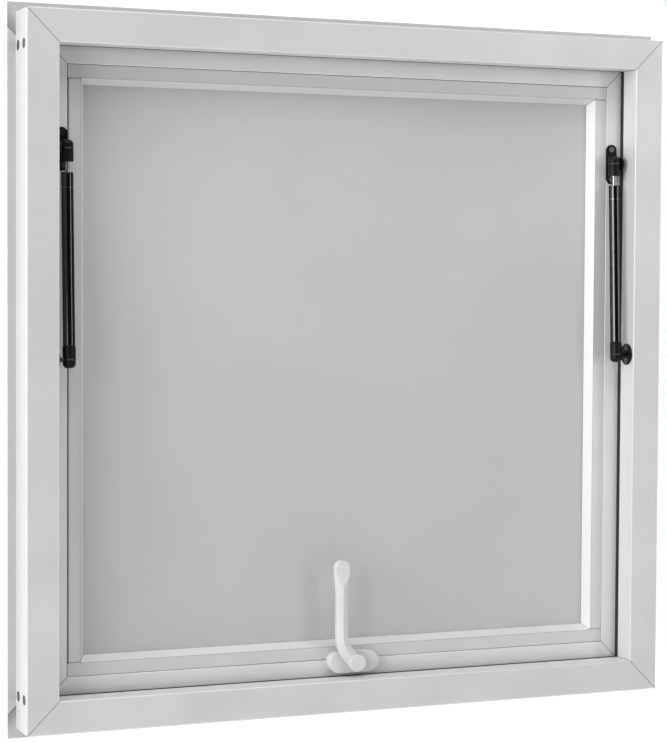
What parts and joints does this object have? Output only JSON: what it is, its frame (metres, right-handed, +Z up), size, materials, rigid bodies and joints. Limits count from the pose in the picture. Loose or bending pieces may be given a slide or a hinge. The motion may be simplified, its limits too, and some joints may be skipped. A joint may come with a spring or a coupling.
{
  "type": "top-hung serving window",
  "caption": "Square top-hung serving window: hollow aluminium frame with wall flange, outward-opening solid-panel sash, gas struts and a cranked lever handle.",
  "frame": {"origin": "middle of the closed window's box", "axes": "+X to the right seen from indoors, +Y outdoors, +Z up"},
  "size_m": [0.914, 0.0646, 0.914],
  "materials": {
    "frame_aluminium": "satin silver-grey",
    "sash_aluminium": "satin silver-grey",
    "bead_aluminium": "satin silver-grey",
    "panel_skin": "matt pale grey coated sheet",
    "black_seal": "matt black",
    "grey_gasket": "matt grey",
    "cast_key": "as cast",
    "steel_screw": "bright",
    "hinge_aluminium": "satin silver-grey",
    "rivet_aluminium": "bright",
    "latch_steel": "zinc plated",
    "black_bracket": "satin black",
    "handle_white": "satin white",
    "zinc_base": "plain die cast",
    "stud_steel": "plain",
    "black_tube": "gloss black",
    "bright_rod": "polished",
    "strut_inner": "plain",
    "black_socket": "satin black",
    "spring_clip": "dark"
  },
  "bodies": {
    "frame": {"frame_top_rail": "frame_aluminium", "frame_bottom_rail": "frame_aluminium", "frame_left_stile": "frame_aluminium", "frame_right_stile": "frame_aluminium", "frame_corner_keys": "cast_key", "frame_corner_angles": "cast_key", "frame_corner_screws": "steel_screw", "frame_seal": "black_seal", "hinge_frame_leaf": "hinge_aluminium", "hinge_frame_rivets": "rivet_aluminium", "latch_keeper": "latch_steel", "keeper_screws": "steel_screw", "left_lower_plate": "black_bracket", "right_lower_plate": "black_bracket", "lower_plate_screws": "steel_screw"},
    "sash": {"sash_top_rail": "sash_aluminium", "sash_bottom_rail": "sash_aluminium", "sash_left_stile": "sash_aluminium", "sash_right_stile": "sash_aluminium", "top_glazing_bead": "bead_aluminium", "bottom_glazing_bead": "bead_aluminium", "left_glazing_bead": "bead_aluminium", "right_glazing_bead": "bead_aluminium", "infill_panel": "panel_skin", "bead_gaskets": "grey_gasket", "panel_tape": "grey_gasket", "sash_corner_keys": "cast_key", "hinge_sash_leaf": "hinge_aluminium", "hinge_sash_rivets": "rivet_aluminium", "left_upper_bracket": "black_bracket", "right_upper_bracket": "black_bracket", "upper_bracket_screws": "steel_screw", "upper_ball_studs": "stud_steel", "rosette_base": "zinc_base", "rosette_cover": "handle_white", "rosette_screws": "steel_screw"},
    "handle": {"lever": "handle_white", "spindle": "latch_steel", "latch_tongue": "latch_steel", "tongue_screw": "steel_screw"},
    "left_rod": {"left_strut_rod": "bright_rod", "left_strut_piston": "strut_inner", "left_upper_socket": "black_socket", "left_upper_clip": "spring_clip"},
    "left_tube": {"left_strut_tube": "black_tube", "left_rod_guide": "strut_inner", "left_lower_socket": "black_socket", "left_lower_clip": "spring_clip", "left_lower_ball_stud": "stud_steel"},
    "right_rod": {"right_strut_rod": "bright_rod", "right_strut_piston": "strut_inner", "right_upper_socket": "black_socket", "right_upper_clip": "spring_clip"},
    "right_tube": {"right_strut_tube": "black_tube", "right_rod_guide": "strut_inner", "right_lower_socket": "black_socket", "right_lower_clip": "spring_clip", "right_lower_ball_stud": "stud_steel"}
  },
  "joints": [
    {"name": "sash_hinge", "type": "hinge", "parent": "frame", "child": "sash", "pos_m": [0, 0.02715, 0.4452], "axis": [1, 0, 0], "range_deg": [0, 85]},
    {"name": "handle_turn", "type": "hinge", "parent": "sash", "child": "handle", "pos_m": [0.004, 0.00965, -0.386], "axis": [0, 1, 0], "range_deg": [0, 90]},
    {"name": "left_strut_swing", "type": "hinge", "parent": "sash", "child": "left_rod", "pos_m": [-0.3878, -0.00435, 0.2776], "axis": [1, 0, 0], "range_deg": [-111.04, 0]},
    {"name": "left_strut_slide", "type": "slide", "parent": "left_rod", "child": "left_tube", "axis": [0, -0.0413, -0.9991], "range_m": [0, 0.17367]},
    {"name": "right_strut_swing", "type": "hinge", "parent": "sash", "child": "right_rod", "pos_m": [0.3878, -0.00435, 0.2776], "axis": [1, 0, 0], "range_deg": [-111.04, 0]},
    {"name": "right_strut_slide", "type": "slide", "parent": "right_rod", "child": "right_tube", "axis": [0, -0.0413, -0.9991], "range_m": [0, 0.17367]}
  ],
  "couplings": [
    {"joint": "left_strut_swing", "follows": "sash_hinge", "ratio": -1.3057},
    {"joint": "left_strut_slide", "follows": "sash_hinge", "m_per_rad": 0.117},
    {"joint": "right_strut_swing", "follows": "sash_hinge", "ratio": -1.3057},
    {"joint": "right_strut_slide", "follows": "sash_hinge", "m_per_rad": 0.117}
  ]
}
